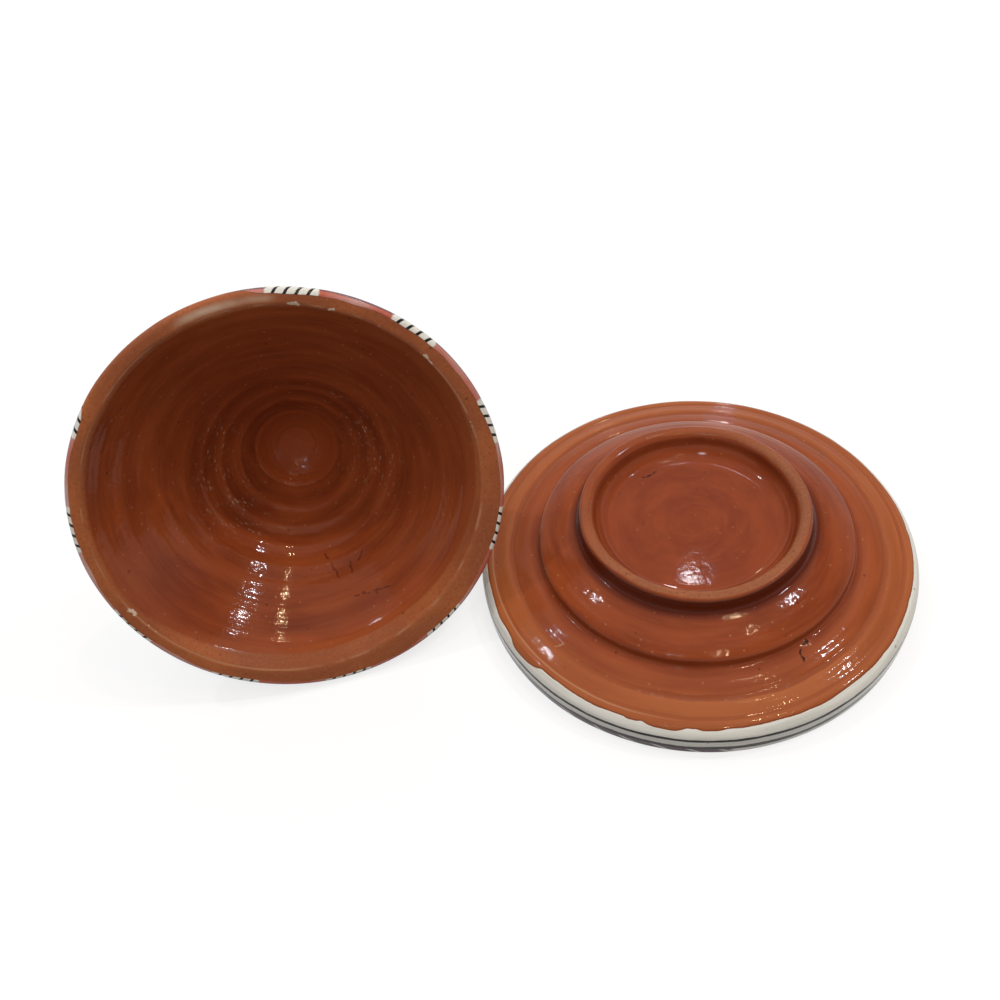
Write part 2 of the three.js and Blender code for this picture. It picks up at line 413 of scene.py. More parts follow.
# The skin of a clear glaze: a fine grain and slow lumps, sand and pits under it, and hotter firing patches
SKIN_CLOUDS = {"Grain": 1400, "Lump": 560}
SKIN_SPOTS = {
    # name: so many to a metre, and the soft edge and size of each as shares of their spacing
    "Sand": (300, 0.13, 0.06),
    "Grit": (850, 0.36, 0.2),
    "Pit": (170, 0.09, 0.04),
}
FIRE_SCALE = 45
FIRE_STEP = (0.38, 0.68)
glaze_skin, given, wanted = new_group("glaze skin", {"Place": "Vector"}, [*SKIN_CLOUDS, *SKIN_SPOTS, "Fire"])
for name, scale in SKIN_CLOUDS.items():
    feed(glaze_skin, wanted[name], mottle(glaze_skin, given["Place"], scale, 2.0))
for name, (scale, edge, size) in SKIN_SPOTS.items():
    feed(glaze_skin, wanted[name], spots(glaze_skin, given["Place"], scale, edge, size))
fire = mottle(glaze_skin, given["Place"], FIRE_SCALE, 3.0)
feed(glaze_skin, wanted["Fire"], soft_step(glaze_skin, fire, *FIRE_STEP))

# The edge of a dipped or brushed coat, which wanders by hand and may lean to one side of the piece
coat_edge, given, wanted = new_group(
    "coat edge",
    {"Place": "Vector", "Way": "Float", "Start": "Float", "Wander": "Float", "Lean": "Vector",
     "Blur": "Float"},
    ["Mask"])
slow = mottle(coat_edge, round_the_wheel(coat_edge, given["Place"], 0.0, 2.6, 0), 1.0, 2.0)
quick = mottle(coat_edge, round_the_wheel(coat_edge, given["Place"], given["Way"], 14.0, 250), 1.0, 5.0)
shaken = calc(coat_edge, "MULTIPLY_ADD", quick, 0.3, calc(coat_edge, "SUBTRACT", slow, 0.65))
leaning = vector_calc(coat_edge, "DOT_PRODUCT", wheel_facing(coat_edge, given["Place"]), given["Lean"])
moved = calc(coat_edge, "MULTIPLY_ADD", shaken, calc(coat_edge, "MULTIPLY", given["Wander"], 4.0), leaning)
past = calc(coat_edge, "SUBTRACT", calc(coat_edge, "ADD", given["Way"], moved), given["Start"])
feed(coat_edge, wanted["Mask"],
     soft_step(coat_edge, past, calc(coat_edge, "MULTIPLY", given["Blur"], -1.0), given["Blur"]))

# A line drawn with a brush while the piece turns: a little unsteady, and thin where the paint ran dry
brush_line, given, wanted = new_group(
    "brush line", {"Place": "Vector", "Way": "Float", "Centre": "Float", "Width": "Float"}, ["Mask"])
shake = mottle(brush_line, round_the_wheel(brush_line, given["Place"], 0.0, 4.0, 0), 1.0, 3.0)
load = mottle(brush_line, round_the_wheel(brush_line, given["Place"], given["Way"], 9.0, 700), 1.0, 3.0)
off_line = calc(brush_line, "SUBTRACT", given["Way"], given["Centre"])
shaken = calc(brush_line, "MULTIPLY_ADD", calc(brush_line, "SUBTRACT", shake, 0.5), given["Width"], off_line)
half_width = calc(brush_line, "MULTIPLY", given["Width"], calc(brush_line, "MULTIPLY_ADD", load, 0.5, 0.25))
feathered = calc(brush_line, "MULTIPLY", half_width, 1.35)
feed(brush_line, wanted["Mask"],
     soft_step(brush_line, calc(brush_line, "ABSOLUTE", shaken), feathered, half_width))

# A scratch, crack or chip from one place to another, with ragged sides
scratch, given, wanted = new_group(
    "scratch", {"Place": "Vector", "From": "Vector", "To": "Vector", "Width": "Float"}, ["Mask"])
unsteady = add_node(scratch, "ShaderNodeTexNoise", {"Vector": given["Place"], "Scale": 600.0})
swerve = vector_calc(scratch, "SUBTRACT", unsteady.outputs["Color"], (0.5, 0.5, 0.5))
swerve = scaled(scratch, swerve, calc(scratch, "MULTIPLY", given["Width"], 2.0))
run = vector_calc(scratch, "SUBTRACT", given["To"], given["From"])
gone = vector_calc(scratch, "SUBTRACT", vector_calc(scratch, "ADD", given["Place"], swerve), given["From"])
along = calc(scratch, "DIVIDE", vector_calc(scratch, "DOT_PRODUCT", gone, run),
             vector_calc(scratch, "DOT_PRODUCT", run, run))
along = calc(scratch, "MAXIMUM", calc(scratch, "MINIMUM", along, 1.0), 0.0)
aside = vector_calc(scratch, "LENGTH", vector_calc(scratch, "SUBTRACT", gone, scaled(scratch, run, along)))
ragged = calc(scratch, "MULTIPLY_ADD", mottle(scratch, given["Place"], 900, 3.0), 1.4, -0.2)
ragged = calc(scratch, "MULTIPLY", ragged, given["Width"])
feed(scratch, wanted["Mask"], soft_step(scratch, aside, ragged, calc(scratch, "MULTIPLY", ragged, 0.6)))

GLAZE_IOR = 1.5
GLAZE_REFLECTION = 0.13
CLAY_DEEP = (0.175, 0.027, 0.008, 1)
CLAY_WARM = (0.295, 0.058, 0.015, 1)
CLAY_STREAK = (0.35, 0.09, 0.03, 1)
# Dark pooled glaze, also laid on as painted shade in corners
CLAY_POOL_AND_SHADE = (0.08, 0.010, 0.0035, 1)
CLAY_PALE = (0.39, 0.115, 0.037, 1)
CLAY_BARE = (0.28, 0.08, 0.03, 1)
CLAY_SANDY = (0.40, 0.17, 0.085, 1)
CLAY_DUST = (0.2, 0.085, 0.045, 1)
CLAY_SPECK = (0.05, 0.012, 0.006, 1)
SLIP_WHITE = (0.76, 0.74, 0.68, 1)
SLIP_GREY = (0.62, 0.61, 0.56, 1)
PAINT_BLACK = (0.017, 0.014, 0.014, 1)
PAINT_PLUM = (0.085, 0.022, 0.045, 1)
RIDGES = (-0.1 * MM, 0.2 * MM)
GROOVES = (-0.15 * MM, -0.55 * MM)
PALE_GRAIN = (0.5, 0.75)
DARK_GRAIN = (0.45, 0.25)
GLAZE_ROUGHNESS = 0.075
SLIP_ROUGHNESS = 0.16
BARE_ROUGHNESS = 0.46


def thrown_place(tree):
    """A piece's upright place, the way along its profile and how far each point was raised, which its mesh
    carries, and its place as it lies."""
    upright, way, raised = [
        add_node(tree, "ShaderNodeAttribute", attribute_name=name).outputs
        for name in ("upright", "way", "raised")]
    lying = add_node(tree, "ShaderNodeTexCoord").outputs["Object"]
    return upright["Vector"], way["Fac"], raised["Fac"], lying


def glazed_clay(tree, marks, skin, raised):
    """The colour of red earthenware under clear glaze: streaks, smears, fired patches, sand and iron specks.
    The glaze is thin on ridges and gathers dark in grooves; this lighter and darker colour is also painted
    light on the ridges and painted shade in the grooves."""
    return layered(tree, CLAY_DEEP, [
        (marks["Broad"], 1.0, CLAY_WARM),
        (marks["Fine"], 0.25, CLAY_STREAK),
        (marks["Smear"], 0.3, CLAY_POOL_AND_SHADE),
        (skin["Fire"], 0.3, CLAY_WARM),
        # Paler on ridges and darker in grooves: thin and pooled glaze, and painted light and shade on the
        # rings
        (soft_step(tree, raised, *RIDGES), 0.45, CLAY_STREAK),
        (soft_step(tree, raised, *GROOVES), 0.5, CLAY_POOL_AND_SHADE),
        (skin["Sand"], 0.5, CLAY_SANDY),
        (skin["Pit"], 0.6, CLAY_SPECK),
    ])


def bare_clay(tree, marks, skin, coarse):
    """The colour of clay that the glaze was wiped from, smooth or as coarse as 1."""
    return layered(tree, CLAY_BARE, [
        (skin["Fire"], 1.0, CLAY_PALE),
        (marks["Fine"], 0.4, CLAY_STREAK),
        (soft_step(tree, skin["Grain"], *PALE_GRAIN), 0.6 * coarse, CLAY_SANDY),
        (soft_step(tree, skin["Grain"], *DARK_GRAIN), 0.7 * coarse, CLAY_DEEP),
        (share(tree, skin["Grit"], skin["Fire"]), 0.8 * coarse, CLAY_DEEP),
        (skin["Pit"], 0.5, CLAY_SPECK),
    ])


def white_slip(tree, marks, skin):
    """The colour of white slip: brushed thinner here and there, with specks of the clay coming through."""
    return layered(tree, SLIP_WHITE, [(marks["Fine"], 0.8, SLIP_GREY), (skin["Pit"], 0.5, CLAY_BARE)])


def scratched(tree, place, lines):
    """Where cracks, scratches or chips are, each a width and a run of places."""
    mask = 0.0
    for width, line in lines:
        for start, end in zip(line, line[1:]):
            mask = calc(tree, "MAXIMUM", mask, use_group(tree, scratch, place, start, end, width)["Mask"])
    return mask


def finish(material, colour, roughness, height):
    """Puts a fired finish on a material's shader: a height in millimetres stands up as relief."""
    tree = material.node_tree
    shader = tree.nodes["Principled BSDF"]
    shader.inputs["IOR"].default_value = GLAZE_IOR
    shader.inputs["Specular IOR Level"].default_value = GLAZE_REFLECTION
    bump = add_node(tree, "ShaderNodeBump", {"Distance": MM, "Height": height})
    feed(tree, shader.inputs["Base Color"], colour)
    feed(tree, shader.inputs["Roughness"], roughness)
    feed(tree, shader.inputs["Normal"], bump.outputs["Normal"])


def fired_roughness(tree, bare, slip):
    """How dull each part of a piece is: bare clay, slip or plain glaze."""
    roughness = calc(tree, "MULTIPLY_ADD", bare, BARE_ROUGHNESS - GLAZE_ROUGHNESS, GLAZE_ROUGHNESS)
    return calc(tree, "MULTIPLY_ADD", slip, SLIP_ROUGHNESS, share(tree, inverse(tree, slip), roughness))


def fired_height(tree, marks, skin, bare, slip):
    """How far the surface stands up, in millimetres: grain, lumps, brush marks and the slip's thickness."""
    height = 0.0
    for mask, rise in [
        (skin["Grain"], 0.015),
        (skin["Lump"], 0.065),
        (marks["Fine"], 0.01),
        (skin["Pit"], -0.05),
        (share(tree, bare, skin["Grain"]), 0.05),
        (slip, 0.14),
    ]:
        height = calc(tree, "MULTIPLY_ADD", mask, rise, height)
    return height


def coated(tree, place, way, start, wander, lean, blur):
    """Where a coat lies, from its edge on."""
    return use_group(tree, coat_edge, place, way, start, wander, lean, blur)["Mask"]


def brushed(tree, place, way, centre, width):
    """Where a line lies that was brushed round a piece."""
    return use_group(tree, brush_line, place, way, centre, width)["Mask"]


SLIP_WANDER = 0.45 * MM
SLIP_START = -1.3 * MM
SLIP_BLUR = 0.1 * MM
SLIP_STAIN = 0.35 * MM
SLIP_STAIN_DARK = 0.5
FOOT_WEAR_WANDER = 0.35 * MM
FOOT_WEAR_BLUR = 0.35 * MM
NO_LEAN = (0, 0, 0)
# Painted lines round the rim: the distance down the outside from its edge, and the width
RIM_LINES = [(6.2 * MM, 0.85 * MM), (2.8 * MM, 1.35 * MM)]
# Corners painted darker, as glaze that gathered there and as painted shade where they lie in shadow: the way
# along the profile, the reach on both sides, and how dark
POOLED_AND_SHADED_CORNERS = [
    (foot_base_way, 2.8 * MM, 0.85),
    (foot_base_way - 2.2 * MM, 2.6 * MM, 0.85),
    (foot_face_end + 1.3 * MM, 1.6 * MM, 0.8),
    (recess_way + 3.6 * MM, 2.0 * MM, 0.3),
    (seat_way, 2.5 * MM, 0.6),
]
# Slanted strokes painted along the edge of the rim
STROKE_COUNT = 46
STROKE_EDGE = (0.44, 0.38)
STROKE_SLANT = 260.0
STROKE_UNEVEN = 40.0
STROKE_RISE = 0.9 * MM
STROKE_REACH = 2.2 * MM
STROKE_SIDE = side_at(140)
STROKE_ENDS = (0.7, 0.72)
DISH_CALM = 0.95
RECESS_CALM = 0.16
RECESS_GLOSS = 0.55
DISH_PALER = 0.15
FOOT_DUST = 0.35
FOOT_WEAR_END = -0.3 * MM
FOOT_COARSE = 0.9
FOOT_WEAR_SIDE = side_at(60)
FOOT_WEAR_FADE = (-1.3, 0.3)
RECESS_DEEPER = 0.4
# Creases of the flange painted darker, as glaze that gathered there and as painted shade in them: the
# distance out from the channel, and the width
CREASES = [(7.8 * MM, 1.5 * MM), (13.0 * MM, 0.9 * MM)]
CREASE_DARK = 0.5
PALE_FLANGE_START = 4.0 * MM
PALE_FLANGE_FULL = 10.0 * MM
PALE_FLANGE_LEAST = 0.5
PALE_FLANGE_STREAKS = 0.45
# A pale line along the flange's outer bead on one side, a painted highlight of the glaze there
EDGE_GLINT_WAY = -3.2 * MM
EDGE_GLINT_WIDTH = 0.42 * MM
EDGE_GLINT_SIDE = side_at(160)
EDGE_GLINT_ENDS = (0.55, 0.85)
dish_cracks = [
    (1.0 * MM, [flange_place(43.4 * MM, math.radians(64.7)), flange_place(44.6 * MM, math.radians(68.2)),
                flange_place(47.2 * MM, math.radians(69.9))]),
    (0.7 * MM, [turned(21.3 * MM, RECESS_DEPTH, math.radians(-117.0)),
                turned(20.8 * MM, RECESS_DEPTH, math.radians(-111.0)),
                turned(21.1 * MM, RECESS_DEPTH, math.radians(-105.5))]),
]
dish_scratches = [
    (0.4 * MM, [flange_place(48.9 * MM, math.radians(146.2)), flange_place(51.4 * MM, math.radians(148.0))]),
]
# Places where the edge of the slip flaked off: the angle, how wide, and how far down
SLIP_FLAKES = [
    (152.5, 7.0, 1.2 * MM),
    (111.5, 6.0, 1.0 * MM),
    (119.0, 2.5, 0.4 * MM),
    (100.0, 4.0, 0.4 * MM),
]
FLAKE_FULL = 0.25

dish_material = bpy.data.materials.new("dish_glazed_terracotta")
dish_material.use_nodes = True
tree = dish_material.node_tree
place, way, raised, lying = thrown_place(tree)
facing = wheel_facing(tree, place)
marks = use_group(tree, wheel_marks, place, way)
skin = use_group(tree, glaze_skin, lying)
colour = mixed(tree, DISH_PALER, glazed_clay(tree, marks, skin, raised), CLAY_STREAK)
flange = soft_step(tree, way, channel_way + PALE_FLANGE_START, channel_way + PALE_FLANGE_FULL)
paler = calc(tree, "MULTIPLY_ADD", marks["Broad"], PALE_FLANGE_STREAKS, PALE_FLANGE_LEAST)
colour = mixed(tree, share(tree, flange, paler), colour, CLAY_PALE)
# Dark lines in the flange's creases: pooled glaze and painted shade
for distance, width in CREASES:
    crease = share(tree, brushed(tree, place, way, channel_way + distance, width), marks["Broad"])
    colour = mixed(tree, share(tree, crease, CREASE_DARK), colour, CLAY_DEEP)
calm = soft_step(tree, way, recess_way + RECESS_ROUND, recess_way - RECESS_ROUND)
colour = mixed(tree, share(tree, calm, RECESS_DEEPER), colour, CLAY_DEEP)
# Darker colour in the corners by the foot, the recess and the seat: pooled glaze and painted shade
for corner_way, reach, depth in POOLED_AND_SHADED_CORNERS:
    colour = mixed(tree, share(tree, soft_band(tree, way, corner_way, reach), depth), colour, CLAY_POOL_AND_SHADE)
colour = mixed(tree, scratched(tree, place, dish_cracks), colour, CLAY_SPECK)
colour = mixed(tree, scratched(tree, place, dish_scratches), colour, CLAY_SANDY)
# A painted highlight along the flange's outer bead
painted_edge_glint = brushed(tree, place, way, flange_end + EDGE_GLINT_WAY, EDGE_GLINT_WIDTH)
painted_edge_glint = share(tree, painted_edge_glint, on_side(tree, facing, EDGE_GLINT_SIDE, *EDGE_GLINT_ENDS))
colour = mixed(tree, painted_edge_glint, colour, CLAY_SANDY)
worn_from, worn_to = [
    coated(tree, place, way, edge, FOOT_WEAR_WANDER, NO_LEAN, FOOT_WEAR_BLUR)
    for edge in (foot_face_start, foot_face_end + FOOT_WEAR_END)]
bare = share(tree, worn_from, inverse(tree, worn_to))
bare = share(tree, bare, on_side(tree, facing, FOOT_WEAR_SIDE, *FOOT_WEAR_FADE))
foot_colour = mixed(tree, FOOT_DUST, bare_clay(tree, marks, skin, FOOT_COARSE), CLAY_DUST)
colour = mixed(tree, bare, colour, foot_colour)
slip_start = flange_end + SLIP_START
for angle, half_width, depth in SLIP_FLAKES:
    edge = math.cos(math.radians(half_width))
    full = math.cos(math.radians(half_width * FLAKE_FULL))
    flake = on_side(tree, facing, side_at(angle), edge, full)
    slip_start = calc(tree, "MULTIPLY_ADD", flake, depth, slip_start)
stain_start = calc(tree, "SUBTRACT", slip_start, SLIP_STAIN)
slip_from, slip_to, stain = [
    coated(tree, place, way, edge, SLIP_WANDER, NO_LEAN, SLIP_BLUR)
    for edge in (slip_start, rim_inner_way, stain_start)]
slip = share(tree, slip_from, inverse(tree, slip_to))
stain = share(tree, calc(tree, "SUBTRACT", stain, slip_to), SLIP_STAIN_DARK)
colour = mixed(tree, stain, colour, CLAY_POOL_AND_SHADE)
colour = mixed(tree, slip, colour, white_slip(tree, marks, skin))
for distance, width in RIM_LINES:
    colour = mixed(tree, brushed(tree, place, way, rim_edge_way - distance, width), colour, PAINT_BLACK)
lean = calc(tree, "MULTIPLY_ADD", way, STROKE_SLANT, mottle(tree, place, STROKE_UNEVEN, 2.0))
aside = calc(tree, "ABSOLUTE", beside(tree, wheel_turn(tree, place), STROKE_COUNT, lean))
below_edge = calc(tree, "SUBTRACT", rim_edge_way - STROKE_RISE, way)
strokes = soft_step(tree, aside, *STROKE_EDGE)
strokes = share(tree, strokes, soft_step(tree, below_edge, STROKE_REACH, STROKE_RISE))
strokes = share(tree, strokes, on_side(tree, facing, STROKE_SIDE, *STROKE_ENDS))
stroke_paint = mixed(tree, marks["Broad"], PAINT_BLACK, PAINT_PLUM)
colour = mixed(tree, share(tree, strokes, slip), colour, stroke_paint)
steady = calc(tree, "MULTIPLY_ADD", calm, RECESS_CALM - DISH_CALM, DISH_CALM)
height = share(tree, fired_height(tree, marks, skin, bare, slip), steady)
gloss = calc(tree, "MULTIPLY_ADD", calm, RECESS_GLOSS - 1, 1.0)
roughness = share(tree, fired_roughness(tree, bare, slip), gloss)
finish(dish_material, colour, roughness, height)
dish.data.materials.append(dish_material)
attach(dish, "dish")
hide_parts("dish")

# The lid: a cone of the same earthenware with a drawn-in neck and a knob, all thrown in one piece.
# It is clear-glazed inside, has a wiped lip that sits in the dish, and is painted on white slip outside.
# It lies on its side, resting on its lip and its knob, with its mouth to the viewer.
LID_RADIUS = 54.0 * MM
LID_OUT_OF_ROUND = 0.5 * MM
LIP_INNER_RADIUS = 50.1 * MM
LIP_ROUND = 1.7 * MM
BAND_HEIGHT = 3.4 * MM
SHOULDER_RADIUS = 52.5 * MM
SHOULDER_MIDDLE = 5.7 * MM
SHOULDER_HEIGHT = 8.0 * MM
SHOULDER_ROUND = 1.2 * MM
CONE_RADIUS_AT_LIP = 56.78 * MM
CONE_SLOPE = 0.8966
HOLLOW_DEPTH = 48.8 * MM
HOLLOW_TIP_ROUND = 6.2 * MM
CONE_END_HEIGHT = 45.6 * MM
NECK_RADIUS = 10.4 * MM
NECK_DRAW_HEIGHT = 55.6 * MM
NECK_HEIGHT = 67.6 * MM
NECK_FLARE_HEIGHT = 74.0 * MM
KNOB_RADIUS = 15.0 * MM
KNOB_HALF_HEIGHT = 12.4 * MM
KNOB_MIDDLE = 83.6 * MM
KNOB_SOCKET = math.radians(-42)
KNOB_STEPS = 40
CURVE_STEPS = 36
LID_TO_LEFT = 102.9 * MM
LID_TO_BACK = 2.6 * MM
LID_TILT = math.radians(25.116)
LID_TURN = math.radians(6.0)

# Finger grooves in the hollow, deep and ridged from the tip's edge up to their reach and faint beyond it
TIP_EDGE_RADIUS = 11.6 * MM
TIP_EDGE_DEPTH = 0.35 * MM
TIP_EDGE_WIDTH = 0.7 * MM
TIP_RING_RADIUS = 4.7 * MM
TIP_RING_DEPTH = 0.1 * MM
GROOVE_PITCH = 6.6 * MM
GROOVE_DEPTH = 0.38 * MM
GROOVE_REACH = 24.0 * MM
GROOVE_FADE = 2.5 * MM
FAINT_GROOVE_DEPTH = 0.1 * MM
GROOVE_WANDER = 1.6 * MM
FINGER_PITCH = 1.8 * MM
FINGER_DEPTH = 0.02 * MM
HOLLOW_WOBBLE = 0.25 * MM
OUTSIDE_WOBBLE = 0.1 * MM
LIP_SWELL = 3.2 * MM
LIP_SWELL_ANGLE = math.radians(48)
LIP_SWELL_REACH = 9.0 * MM
LIP_LUMPS = 0.25 * MM
LUMP_LENGTH = 8.0 * MM


def cone_radius(height):
    """The outside of the cone at a height."""
    return CONE_RADIUS_AT_LIP - CONE_SLOPE * height


def curve(*points):
    """Corners of a profile along a curve from the first place to the last, drawn by the two between them."""
    knots = [Vector((radius, height, 0)) for radius, height in points]
    return [(point.x, point.y, 0) for point in interpolate_bezier(*knots, CURVE_STEPS)]


neck = curve(
    (cone_radius(SHOULDER_HEIGHT), SHOULDER_HEIGHT), (cone_radius(CONE_END_HEIGHT), CONE_END_HEIGHT),
    (NECK_RADIUS, NECK_DRAW_HEIGHT), (NECK_RADIUS, NECK_HEIGHT))
knob_sweep = math.pi / 2 - KNOB_SOCKET
knob_angles = [KNOB_SOCKET + knob_sweep * step / KNOB_STEPS for step in range(KNOB_STEPS + 1)]
knob = [(KNOB_RADIUS * math.cos(angle), KNOB_MIDDLE + KNOB_HALF_HEIGHT * math.sin(angle), 0)
        for angle in knob_angles]
flare_start = (NECK_RADIUS, NECK_FLARE_HEIGHT)
flare = curve((NECK_RADIUS, NECK_HEIGHT), flare_start, flare_start, knob[0][:2])
hollow_tip_radius = LIP_INNER_RADIUS - CONE_SLOPE * HOLLOW_DEPTH
lid_wire = draw_profile([
    (0, HOLLOW_DEPTH, 0),
    (hollow_tip_radius, HOLLOW_DEPTH, HOLLOW_TIP_ROUND),
    (LIP_INNER_RADIUS, 0, TRIMMED_EDGE),
    (LID_RADIUS, 0, LIP_ROUND),
    (LID_RADIUS, BAND_HEIGHT, SHOULDER_ROUND),
    (SHOULDER_RADIUS, SHOULDER_MIDDLE, SHOULDER_ROUND),
    *neck,
    *flare[1:],
    *knob[1:-1],
    (0, KNOB_MIDDLE + KNOB_HALF_HEIGHT, 0),
])
tip_edge_way = way_to(lid_wire, TIP_EDGE_RADIUS, (LIP_INNER_RADIUS - TIP_EDGE_RADIUS) / CONE_SLOPE)
lip_inner_way = way_to(lid_wire, LIP_INNER_RADIUS, 0)
lip_outer_way = way_to(lid_wire, LID_RADIUS, 0)
neck_way = way_to(lid_wire, NECK_RADIUS, NECK_HEIGHT)
knob_foot_way = way_to(lid_wire, knob[0][0], knob[0][1])
lid_top_way = way_to(lid_wire, 0, KNOB_MIDDLE + KNOB_HALF_HEIGHT)


def hollow_place(radius, angle):
    """A place on the wall of the lid's hollow."""
    return turned(radius, (LIP_INNER_RADIUS - radius) / CONE_SLOPE, angle)


def lid_relief(place, way, normal):
    """Finger rings in the hollow, a lip drawn in on one side, and the wobble of a hand-thrown wall."""
    swell = noise.noise(place / LUMP_LENGTH)
    if way > lip_outer_way:
        return normal * (OUTSIDE_WOBBLE * (swell - 1))
    radius = math.hypot(place.x, place.y)
    angle = math.atan2(place.y, place.x)
    rise = HOLLOW_WOBBLE * noise.noise(place / (2 * LUMP_LENGTH))
    rise += FINGER_DEPTH * spiral_wave(place, way, FINGER_PITCH)
    rise -= TIP_EDGE_DEPTH * bell(radius - TIP_EDGE_RADIUS, TIP_EDGE_WIDTH)
    rise -= TIP_RING_DEPTH * bell(radius - TIP_RING_RADIUS, TIP_EDGE_WIDTH)
    past_tip = way - tip_edge_way + GROOVE_WANDER * noise.noise(place / (4 * LUMP_LENGTH))
    if past_tip > 0:
        deep = 1 / (1 + math.exp((past_tip - GROOVE_REACH) / GROOVE_FADE))
        depth = FAINT_GROOVE_DEPTH + (GROOVE_DEPTH - FAINT_GROOVE_DEPTH) * deep
        rise -= depth * (1 - (2 * (past_tip / GROOVE_PITCH % 1) - 1) ** 2)
    rise += LIP_LUMPS * swell * bell(way - lip_inner_way, LUMP_LENGTH)
    near_lip = max(0.0, 1 - abs(way - lip_inner_way) / LIP_SWELL_REACH)
    if way > lip_inner_way:
        near_lip = max(0.0, (LID_RADIUS - radius - LIP_ROUND) / (LID_RADIUS - LIP_INNER_RADIUS - LIP_ROUND))
        rise = 0.0
    drawn_in = LIP_SWELL * ((1 + math.cos(angle - LIP_SWELL_ANGLE)) / 2) ** 3 * min(near_lip, 1.0)
    return normal * rise - turned(drawn_in, 0, angle)


throw(lid_wire, lid_relief)
wide = 1 + LID_OUT_OF_ROUND / LID_RADIUS
narrow = 1 - LID_OUT_OF_ROUND / LID_RADIUS
mouth_height = LID_RADIUS * narrow * math.cos(LID_TILT) + BAND_HEIGHT * math.sin(LID_TILT)
lid_place = (
    Matrix.Translation((dish_axis.x - LID_TO_LEFT, dish_axis.y + LID_TO_BACK, mouth_height))
    @ Matrix.Rotation(LID_TURN, 4, "Z")
    @ Matrix.Rotation(-math.pi / 2 - LID_TILT, 4, "X")
    @ Matrix.Diagonal((wide, narrow, 1, 1))
)
lid = set_down("lid_on_its_side", lid_wire, lid_place)

PAINT_CORAL = (0.48, 0.12, 0.08, 1)
PAINT_PINK = (0.56, 0.34, 0.31, 1)
# Cream of chipped clay, also used for painted glints and a painted sheen
CHIP_AND_GLINT_CREAM = (0.60, 0.47, 0.35, 1)
# Where the glaze was wiped off the lip: the distance out from its inner edge, and the side that it leans to
LIP_WIPED = [(-0.6 * MM, side_at(-150) * 1.0 * MM), (-1.2 * MM, side_at(75) * 4.6 * MM)]
LIP_WIPED_WANDER = 0.4 * MM
LIP_WIPED_BLUR = 0.8 * MM
LIP_COARSE = 0.4
# A pale broken line along the lip's inner edge, whole on the lower left: worn clay and a painted edge
# highlight
LIP_EDGE_LINE_WIDTH = 0.4 * MM
LIP_EDGE_LINE_PALE = 0.8
EDGE_LINE_BREAKS = 120.0
EDGE_LINE_BREAK_STEP = (0.45, 0.6)
EDGE_LINE_SIDE = side_at(132)
EDGE_LINE_ENDS = (0.8, 0.9)
LID_SLIP_START = -1.0 * MM
LID_SLIP_SIDE = side_at(-112)
LID_SLIP_ENDS = (0.86, 0.95)
LID_SLIP_DRAWN_UP = 3.2 * MM
# A pale patch on the lip's upper side, a painted sheen
LIP_SHEEN_SIDE = side_at(-92)
LIP_SHEEN_ENDS = (0.965, 0.985)
LIP_SHEEN_REACH = 1.5 * MM
# How much the tip's disc is painted lighter and warmer, a painted glow of the light that reaches it
TIP_PAINTED_LIGHT = 0.85
# Grains of sand that stand up through the glaze on both sides of the hollow, so far out from the tip's edge;
# their pale colour is painted glints
SANDY_WAY = 15.0 * MM
SANDY_REACH = 15.0 * MM
SANDY_SIDES = (0.5, 0.85)
SANDY_PATCHES = (0.4, 0.6)
SAND_RISE = 0.14
SAND_GLINT_PALE = 0.7
SAND_AROUND = 11
SAND_ALONG = 1150
SAND_SIZE = (0.42, 0.22)
TIP_LUMPS = 0.1
TIP_DULL = (6.5 * MM, 4.0 * MM)
HOLLOW_PALER = 0.2
# Chips along the inner edge of the lip: the angles that each lies between, and its width
LIP_CHIPS = [
    (-75.4, -72.4, 0.9 * MM), (-64.5, -63.3, 0.6 * MM), (-57.0, -50.0, 0.3 * MM), (-35.5, -31.5, 0.8 * MM),
    (-13.0, -9.0, 0.4 * MM), (8.0, 14.0, 0.3 * MM), (157.0, 159.4, 1.1 * MM), (147.5, 156.5, 0.35 * MM),
]
lip_chips = [
    (width, [side_at(start) * LIP_INNER_RADIUS, side_at(end) * LIP_INNER_RADIUS])
    for start, end, width in LIP_CHIPS
]
HOLLOW_MARK_WIDTH = 0.75 * MM
HOLLOW_MARK_DARK = 0.6
hollow_marks = [
    (HOLLOW_MARK_WIDTH, [hollow_place(radius * MM, math.radians(angle)) for radius, angle in line])
    for line in [
        [(27.1, 87.9), (33.0, 83.4)],
        [(30.6, 75.7), (33.0, 77.1)],
        [(30.1, 68.0), (31.2, 71.0)],
        [(37.5, 79.3), (39.5, 64.3)],
    ]
]

# The painting on the outside of the lid, in distances up from the lip
HAND_SHAKE = 1.2 * MM
HAND_SHAKE_SCALE = 90.0
BRUSH_EDGE = 0.25 * MM
BORDER = (-1.6 * MM, 6.6 * MM)
PANEL_COUNT = 11
PANEL_SHIFT = PANEL_COUNT * 74.5 / 360 + 0.5
PANEL_EDGE = (0.195, 0.215)
PANEL_BLEED = (0.1 * MM, 1.0 * MM)
TICK_COUNT = 121
TICK_WIDTH = 0.36
NECK_TICK_COUNT = 26
NECK_TICK_WIDTH = 0.42
TICK_SLANT = -175.0
TICK_SOFT = 0.06
PETAL_COUNT = 10
PETAL_LINE = 0.6 * MM
PETAL_BELLY = 0.8
PETAL_ROWS = [
    # shift, start, end, width as a share of the spacing, and colour
    (0.0, 11.0 * MM, 44.0 * MM, 0.4, PAINT_PLUM),
    (0.0, 13.0 * MM, 38.0 * MM, 0.22, PAINT_CORAL),
    (0.5, 11.5 * MM, 24.0 * MM, 0.16, SLIP_GREY),
]
neck_up = neck_way - lip_outer_way
knob_up = knob_foot_way - lip_outer_way
lid_top_up = lid_top_way - lip_outer_way
